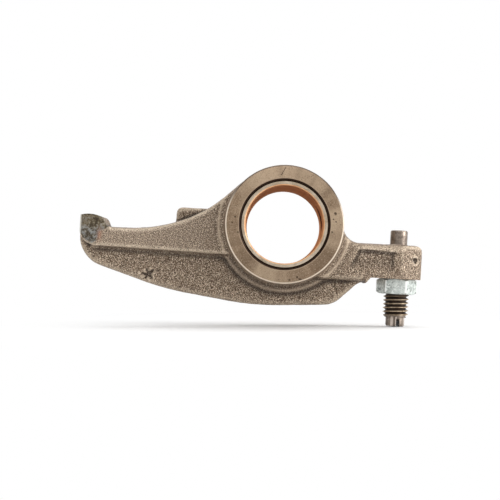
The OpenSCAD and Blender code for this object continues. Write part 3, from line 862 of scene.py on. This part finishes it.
def ground_rim_highlight(p):
    """Painted highlight on the ridge just below the ground side of the pad, from 0 to 1."""
    x, y, z = p.T
    above = z - np.interp(x, GROUND_FOOT_X, GROUND_FOOT_Z)
    return 0.9 * np.exp(-(((above + 0.30) / 0.30) ** 2)) * (np.abs(y) > 6.0) * (x < -73.0)


def smooth_skin(ob):
    """Remeshes the blank evenly and rounds its edges. Gives its points, edges and normals."""
    m = ob.modifiers.new("skin", "REMESH")
    m.mode = "VOXEL"
    m.voxel_size = VOXEL * MM
    m.adaptivity = 0.0
    apply_modifiers(ob)
    e = edge_pairs(ob.data)
    co = relax(coords(ob.data) / MM, e, 4)
    co = relax(co, e, 6, back=0.5)
    set_coords(ob.data, co * MM)
    return co, e, normals(ob.data)


def wear_and_shading(co, bend, wave, hollow, rise, marks):
    """Painted edge highlights, painted shade with dirt in the dents, rust and collar at each point, from 0
    to 1.
    """
    x, y, z = co.T
    far = np.hypot(x, z)
    # The fillets on both sides of the collar get less painted shade than the other hollows
    less_shade = 0.75 - 0.40 * smoothstep(24.6, 25.6, far) - 0.35 * smoothstep(27.5, 29.0, far)
    cavity = np.clip(-bend / FULL_CAVITY, 0, 1) * (1 - less_shade)
    # Painted shade on the hollow's floor, most of all along its upper edge, and painted shadow on the web
    # under the hub
    shade = hollow * (0.40 + 0.45 * smoothstep(-9.8, -7.9, z + 0.5 * wave))
    under = (1 - smoothstep(27.0, 31.5, far)) * smoothstep(-10, -16, z) * (np.abs(y) < 7)
    spot = ((x - RUST_PLACE[0]) / RUST_SIZE[0]) ** 2 + ((z - RUST_PLACE[1]) / RUST_SIZE[1]) ** 2
    return {
        "edge": np.maximum(np.clip(bend / FULL_EDGE, 0, 1), ground_rim_highlight(co)),
        "dirt_and_shade": np.clip(1.1 * cavity + marks + shade + 0.45 * under, 0, 1),
        "rust": np.exp(-spot) * (y < -8) * RUST_SHARE,
        "collar": np.clip(rise / COLLAR_HEIGHT, 0, 1),
    }


def shape_casting(ob):
    """Gives the blank its uneven skin and its marks. Returns its points and their attributes."""
    co, e, n = smooth_skin(ob)
    ground = ground_share(co)
    on_hub = smoothstep(*HUB_SKIN, np.abs(co[:, 1]))
    wave, lump, pit = [noise_at(co, size, seed) for seed, size in enumerate(SKIN_SIZES, 1)]
    uneven = SKIN_HEIGHTS[0] * wave + SKIN_HEIGHTS[1] * lump + SKIN_HEIGHTS[2] * pit
    move = uneven * (1 - 0.85 * ground) * (1 - 0.5 * on_hub) + SKIN_OFFSET
    web_marks = groove_depth(co, WEB_MARKS, -WEB_HALF)
    boss_marks = groove_depth(co, BOSS_MARKS, -7.0)
    hollow = side_recess(co) * (np.abs(co[:, 1]) > 6.5)
    rise = collar_rise(co) * smoothstep(0.3, 0.8, np.abs(n[:, 1]))
    co = co + n * (rise - web_marks - boss_marks)[:, None]
    co[:, 1] -= np.sign(co[:, 1]) * RECESS_DEPTH * hollow
    # Convex edges and hollows, from points smoothed over about a millimetre
    bend = np.einsum("ij,ij->i", co - relax(co, e, 5, 0.6), n)
    bend = relax(bend[:, None], e, 2)[:, 0]
    co = co + n * move[:, None]
    # The skin stays inside the CAD model's box
    co[:, 0] = np.clip(co[:, 0], cad_box[0][0] / MM + 0.01, BOSS_END - 0.01)
    co[:, 2] = np.minimum(co[:, 2], cad_box[1][2] / MM - 0.01)
    set_coords(ob.data, co * MM)
    attributes = wear_and_shading(co, bend, wave, hollow, rise, 2.4 * web_marks + 3.0 * boss_marks)
    attributes["ground"] = ground
    return co, attributes


def oil_drill():
    """Cutter for the oil hole, from the middle of the bore outwards."""
    drill = lathe("tool", [(0, 0), (OIL_R, 0), (OIL_R, 30), (0, 30)], 64, "Z")
    drill.data.transform(Matrix.Rotation(math.pi / 2 - OIL_ANGLE, 4, "Y"))
    return drill


def machine_casting(ob):
    """Cuts the machined faces into the blank, in the order of the real work."""
    half = HUB_HALF
    face_r = HUB_FACE_R - HUB_BEVEL
    cone_end = half - (CUT_FACE_R - face_r)
    for s in (-1, 1):
        facing = [(0, CUT_ALONG), (CUT_FACE_R, CUT_ALONG), (CUT_FACE_R, cone_end), (face_r, half), (0, half)]
        cut(ob, lathe("tool", [(r, s * a) for r, a in facing], 256))
    mouth = BUSH_R + SEAT_BEVEL
    bore = [(0, -half - 3), (mouth, -half - 3), (mouth, -half), (BUSH_R, -half + SEAT_BEVEL)]
    cut(ob, lathe("tool", bore + [(r, -a) for r, a in reversed(bore)], 256))
    deep = SEAT_Z - CUT_SEAT_DEPTH
    ramp_end = SEAT_IN - CUT_SEAT_DEPTH / math.tan(SEAT_RAMP)
    seat = [(ramp_end, deep), (CUT_SEAT_END, deep), (CUT_SEAT_END, SEAT_Z), (SEAT_IN, SEAT_Z)]
    cut(ob, prism("tool", seat, -20, 20))
    wide = HOLE_R + HOLE_BEVEL
    hole = [(0, -24), (wide, -24), (wide, SEAT_Z), (HOLE_R, SEAT_Z + HOLE_BEVEL)]
    hole += [(HOLE_R, ARM_TOP - HOLE_BEVEL), (wide, ARM_TOP), (wide, 0), (0, 0)]
    cut(ob, lathe("tool", hole, 96, "Z", (SCREW_X, 0.0)))
    crown = [p for p in pad_arc(0.0, 108, 60, 48) if p[0] < CUT_CROWN_END]
    cut(ob, prism("tool", [(crown[0][0], 4)] + crown + [(crown[-1][0], 4)], -14, 14))
    cut(ob, oil_drill())


def machined_slots(me):
    """Gives the machined faces their materials, by where they lie."""
    # How near a face's middle has to lie to a machined surface, where the surfaces end, and how
    # far up the crown's faces look
    flush = 0.003
    on_curve = 0.012
    beside = 0.02
    hub_end = 24
    drill_end = 26
    ramp_start = 31
    crown_end = -70
    crown_up = 0.85
    n = len(me.polygons)
    c = np.empty(n * 3)
    me.polygons.foreach_get("center", c)
    v = np.empty(n * 3)
    me.polygons.foreach_get("normal", v)
    x, y, z = (c.reshape(-1, 3) / MM).T
    up = v.reshape(-1, 3)[:, 2]
    r = np.hypot(x, z)
    side = np.abs(y)
    facing = (np.abs(side - HUB_HALF) < flush) & (r < hub_end)
    cone = np.abs(r - HUB_FACE_R + HUB_BEVEL + side - HUB_HALF)
    bevel = (r > HUB_FACE_R - HUB_BEVEL - beside) & (r < hub_end) & (cone < on_curve)
    bore = r < BUSH_R + SEAT_BEVEL + beside
    seat = (np.abs(z - SEAT_Z) < flush) & (x > SEAT_IN - 0.1)
    slope = np.abs((x - SEAT_IN) * math.tan(SEAT_RAMP) - (z - SEAT_Z))
    ramp = (slope < beside) & (z < SEAT_Z + 0.01) & (x > ramp_start)
    hole = (np.hypot(x - SCREW_X, y) < HOLE_R + HOLE_BEVEL + beside) & (z < ARM_TOP + beside)
    drill_r = np.hypot(z * math.cos(OIL_ANGLE) - x * math.sin(OIL_ANGLE), y)
    drilled = (drill_r < OIL_R + 0.01) & (x > 0) & (r < drill_end)
    on_arc = np.abs(np.hypot(x - PAD_CENTRE[0], z - PAD_CENTRE[1]) - PAD_R) < on_curve
    crown = on_arc & (up > crown_up) & (x < crown_end)
    machined = facing | bevel | bore | seat | ramp | hole | drilled
    slots = np.where(crown, 2, np.where(machined, 1, 0))
    me.polygons.foreach_set("material_index", slots.astype(np.int32))


def build_casting():
    """Casting whose skin's attributes go to the machined mesh from the nearest skin points."""
    ob = cast_blank()
    skin, attributes = shape_casting(ob)
    tree = kdtree.KDTree(len(skin))
    for i, p in enumerate(skin):
        tree.insert(p, i)
    tree.balance()
    machine_casting(ob)
    dress(ob, "arm", "arm_casting", (cast_iron(), machined_iron(), pad_crown()))
    machined_slots(ob.data)
    nearest = np.array([tree.find(p)[1] for p in coords(ob.data) / MM])
    for name, values in attributes.items():
        set_attribute(ob.data, name, values[nearest])
    finish_shading(ob.data)


# Bush, screw and nut

def build_bush():
    """Bush with a bevel in its bore and one outside at each end, both with eased corners."""
    half = BUSH_HALF
    side = [
        (BORE_R, -half + BUSH_BEVEL + 0.02),
        (BORE_R + 0.03, -half + BUSH_BEVEL - 0.08),
        (BORE_R + BUSH_BEVEL - 0.05, -half + 0.04),
        (BORE_R + BUSH_BEVEL + 0.06, -half),
        (BUSH_R - BUSH_RIM - 0.06, -half),
        (BUSH_R - BUSH_RIM + 0.04, -half + 0.05),
        (BUSH_R - 0.02, -half + BUSH_RIM - 0.02),
        (BUSH_R - 0.004, -half + BUSH_RIM + 0.08),
    ]
    wall = [(BORE_R, 9.0), (BORE_R, 0.0), (BORE_R, -9.0)]
    ob = lathe("shaft_bush", side + [(r, -a) for r, a in reversed(side)] + wall, 256)
    cut(ob, oil_drill())
    dress(ob, "arm", "bush", (bush_metal(),))
    finish_shading(ob.data, 28)


def thread_radius(phase):
    """Radius of the thread at a phase of its turn, from 0 to 1, with the crest at 0."""
    crest = 1 / 16
    root = 0.5 - 1 / 8
    d = abs((phase + 0.5) % 1.0 - 0.5)
    return THREAD_R - THREAD_DEPTH * min(max((d - crest) / (root - crest), 0.0), 1.0)


def screw_radius(phase, z):
    """Radius of the threaded part, with its lead-in at the tip and its run-out above."""
    lead_in = max(TIP_R + LEAD_IN + LEAD_SLOPE * (z - THREAD_LOW), TIP_R)
    run_out = PLAIN_R + THREAD_HIGH + NECK - z if z > THREAD_HIGH - RUN_OUT_START else THREAD_R
    return min(thread_radius(phase), lead_in, run_out)


def add_rings(verts, faces, profile, around):
    """Adds turned walls about the screw's axis, from (radius, z) points that end on the axis."""
    rings = []
    for r, z in profile:
        if r == 0:
            rings.append([len(verts)])
            verts.append((SCREW_X, 0, z))
            continue
        rings.append(list(range(len(verts), len(verts) + around)))
        for i in range(around):
            a = 2 * math.pi * i / around
            verts.append((SCREW_X + r * math.cos(a), r * math.sin(a), z))
    for p, q in zip(rings, rings[1:]):
        for k in range(around):
            m = (k + 1) % around
            faces.append((p[k], p[m], q[0]) if len(q) == 1 else (p[k], p[m], q[m], q[k]))


def build_screw():
    """Screw with a true helix, whose rows follow the thread so that its crests stay sharp."""
    around = 120
    per_turn = 16
    end_z = THREAD_HIGH + RUN_OUT_END
    end_r = PLAIN_R + NECK - RUN_OUT_END
    rows = (int(math.ceil((THREAD_HIGH - THREAD_LOW) / PITCH)) + 2) * per_turn
    start = THREAD_LOW - PITCH
    verts = []
    for i in range(around):
        a = 2 * math.pi * i / around
        for j in range(rows + 1):
            z = start + PITCH * (j / per_turn + i / around)
            r = screw_radius(j / per_turn, z)
            z = min(max(z, THREAD_LOW), end_z)
            r = TIP_R if z <= THREAD_LOW else r
            r = end_r if z >= end_z else r
            verts.append((SCREW_X + r * math.cos(a), r * math.sin(a), z))
    faces = []
    for i in range(around):
        for j in range(rows):
            a = i * (rows + 1) + j
            b = (i + 1) * (rows + 1) + j if i < around - 1 else j + per_turn
            if i < around - 1 or b < rows:
                faces.append((a, b, b + 1, a + 1))
    tip = [(TIP_R, THREAD_LOW), (TIP_R, TIP_Z + 1.7)]
    tip += [(TIP_R - inset, TIP_Z + height) for inset, height in TIP_ROUND] + [(0, TIP_Z)]
    plain = [(end_r, end_z), (PLAIN_R, THREAD_HIGH + NECK), (PLAIN_R, -2.0)]
    plain += [(PLAIN_R - inset, SCREW_TOP - height) for inset, height in TOP_ROUND] + [(0, SCREW_TOP)]
    add_rings(verts, faces, tip, around)
    add_rings(verts, faces, plain, around)
    ob = new_object("adjusting_screw_body", verts, faces)
    bm = bmesh.new()
    bm.from_mesh(ob.data)
    bmesh.ops.remove_doubles(bm, verts=bm.verts, dist=2e-6)
    bmesh.ops.dissolve_degenerate(bm, edges=bm.edges, dist=1e-7)
    bmesh.ops.recalc_face_normals(bm, faces=bm.faces)
    bm.to_mesh(ob.data)
    bm.free()
    slot = []
    for across, along in ((-SLOT_HALF, -8), (SLOT_HALF, -8), (SLOT_HALF, 8), (-SLOT_HALF, 8)):
        x = across * math.cos(SLOT_TURN) - along * math.sin(SLOT_TURN)
        slot.append((SCREW_X + x, across * math.sin(SLOT_TURN) + along * math.cos(SLOT_TURN)))
    cut(ob, prism("tool", slot, TIP_Z - 1, TIP_Z + SLOT_DEPTH, "Z"), solver="EXACT")
    dress(ob, "screw", "adjusting_screw", (screw_steel(),))
    finish_shading(ob.data, 24)


def build_nut():
    """Hexagon nut, chamfered at both ends, with slightly eased corners."""
    corner = NUT_FLATS / 2 / math.cos(math.pi / 6)
    ease_angle = 0.035
    ease_depth = 0.035
    plan = []
    for k in range(6):
        for turn in (-ease_angle, 0.0, ease_angle):
            a = NUT_TURN + k * math.pi / 3 + turn
            r = NUT_FLATS / 2 / math.cos(math.pi / 6 - abs(turn)) - (ease_depth if turn == 0 else 0.0)
            plan.append((SCREW_X + r * math.cos(a), r * math.sin(a)))
    low = NUT_LOW
    top = NUT_LOW + NUT_H
    ob = prism("lock_nut_body", plan, low, top, "Z")
    inner = NUT_FLATS / 2 - NUT_FACE_MARGIN - 0.05
    outer = NUT_FLATS / 2 - NUT_FACE_MARGIN + 0.12
    rim = corner + 1
    fall = (rim - NUT_FLATS / 2 + NUT_FACE_MARGIN) * math.tan(math.radians(30))
    turned = [(0, low), (inner, low), (outer, low + 0.05), (rim, low + fall)]
    turned += [(rim, top - fall), (outer, top - 0.05), (inner, top), (0, top)]
    cut(ob, lathe("tool", turned, 192, "Z", (SCREW_X, 0.0)), "INTERSECT")
    wide = HOLE_R + NUT_HOLE_BEVEL
    hole = [(0, low - 1), (wide, low - 1), (wide, low), (HOLE_R, low + NUT_HOLE_BEVEL)]
    hole += [(HOLE_R, top - NUT_HOLE_BEVEL), (wide, top), (wide, top + 1), (0, top + 1)]
    cut(ob, lathe("tool", hole, 96, "Z", (SCREW_X, 0.0)))
    dress(ob, "nut", "lock_nut", (zinc(),))
    finish_shading(ob.data, 20)


# Camera, floor and light

def build_camera():
    """Its picture plane is nearly square to the bore, and the part leans 3 degrees in the picture."""
    ahead = (Vector((0, 1, 0)) * FOCAL_PX - RIGHT * AXIS_PX[0] + UP * AXIS_PX[1]).normalized()
    side = (RIGHT - ahead * RIGHT.dot(ahead)).normalized()
    top = side.cross(ahead)
    cam = bpy.data.cameras.new("camera")
    cam.sensor_width = 36.0
    cam.lens = cam.sensor_width * FOCAL_PX / FRAME_PX
    cam.clip_start = 0.01
    cam.clip_end = 50.0
    ob = bpy.data.objects.new("camera", cam)
    rows = [(side[k], top[k], -ahead[k], EYE[k] * MM) for k in range(3)]
    ob.matrix_world = Matrix((*rows, (0, 0, 0, 1)))
    bpy.context.scene.collection.objects.link(ob)
    bpy.context.scene.camera = ob


def build_floor():
    """White ground that looks level in the picture and passes just under the tip of the screw."""
    foot = EYE - UP * FLOOR_BELOW_EYE
    back = Vector((0, 1, 0))
    signs = ((-1, -1), (1, -1), (1, 1), (-1, 1))
    corners = [foot + RIGHT * a * FLOOR_HALF + back * b * FLOOR_HALF for a, b in signs]
    ob = new_object("floor", [tuple(p) for p in corners], [(0, 1, 2, 3)])
    t = Tree("floor_white")
    x, y, _ = t.parts()
    path = t.node("LightPath")
    other = t.maths("MAXIMUM", path["Is Glossy Ray"], path["Is Transmission Ray"])
    seen = t.maths("MAXIMUM", path["Is Camera Ray"], other)
    # White by colour away from the part, where the lamps fall off, and plain floor under it
    sideways = t.maths("MULTIPLY", t.maths("SUBTRACT", x, SHADOW_X), SHADOW_SQUEEZE)
    share = t.step(t.radius(sideways, y), *SHADOW_REACH, SHADOW_GLOW, 1.0)
    diffuse = t.node("BsdfDiffuse", Color=(FLOOR_GREY, FLOOR_GREY, FLOOR_GREY, 1.0))[0]
    glow = t.node("Emission", Color=(1.0, 1.0, 1.0, 1.0), Strength=1.0)[0]
    both = t.node("MixShader", t.times(seen, share), diffuse, glow)[0]
    t.nt.links.new(both, t.out.inputs["Surface"])
    ob.data.materials.append(t.mat)


def build_world():
    """Soft room light that is stronger behind the part, and a white background for the camera."""
    world = bpy.data.worlds.new("studio")
    bpy.context.scene.world = world
    world.use_nodes = True
    nt = world.node_tree
    nt.nodes.clear()
    out = nt.nodes.new("ShaderNodeOutputWorld")
    path = nt.nodes.new("ShaderNodeLightPath")
    co = nt.nodes.new("ShaderNodeTexCoord")
    parts = nt.nodes.new("ShaderNodeSeparateXYZ")
    nt.links.new(co.outputs["Generated"], parts.inputs[0])
    ramp = nt.nodes.new("ShaderNodeMapRange")
    ramp.interpolation_type = "SMOOTHSTEP"
    nt.links.new(parts.outputs["Y"], ramp.inputs["Value"])
    limits = (("From Min", -0.6), ("From Max", 0.5), ("To Min", ROOM_FRONT), ("To Max", ROOM_BACK))
    for k, v in limits:
        ramp.inputs[k].default_value = v
    room = nt.nodes.new("ShaderNodeBackground")
    room.inputs["Color"].default_value = (1.0, 1.0, 1.0, 1.0)
    nt.links.new(ramp.outputs[0], room.inputs["Strength"])
    white = nt.nodes.new("ShaderNodeBackground")
    white.inputs["Color"].default_value = (1.0, 1.0, 1.0, 1.0)
    white.inputs["Strength"].default_value = 1.0
    mix = nt.nodes.new("ShaderNodeMixShader")
    nt.links.new(path.outputs["Is Camera Ray"], mix.inputs[0])
    nt.links.new(room.outputs[0], mix.inputs[1])
    nt.links.new(white.outputs[0], mix.inputs[2])
    nt.links.new(mix.outputs[0], out.inputs["Surface"])


def softbox(name, place, aim, size, watts):
    """Rectangular light at place, in metres, that faces aim."""
    light = bpy.data.lights.new(name, "AREA")
    light.shape = "RECTANGLE"
    light.size = size[0]
    light.size_y = size[1]
    light.energy = watts
    ob = bpy.data.objects.new(name, light)
    ob.location = place
    ob.rotation_euler = (Vector(aim) - Vector(place)).to_track_quat("-Z", "Y").to_euler()
    bpy.context.scene.collection.objects.link(ob)


def build_lights():
    """Three soft lamps: one from the right, one over the camera and one above the part."""
    for lamp in LAMPS:
        softbox(*lamp)


bpy.context.scene.view_settings.view_transform = "Standard"
build_world()
build_lights()
build_camera()
build_floor()
build_casting()
build_bush()
build_screw()
build_nut()
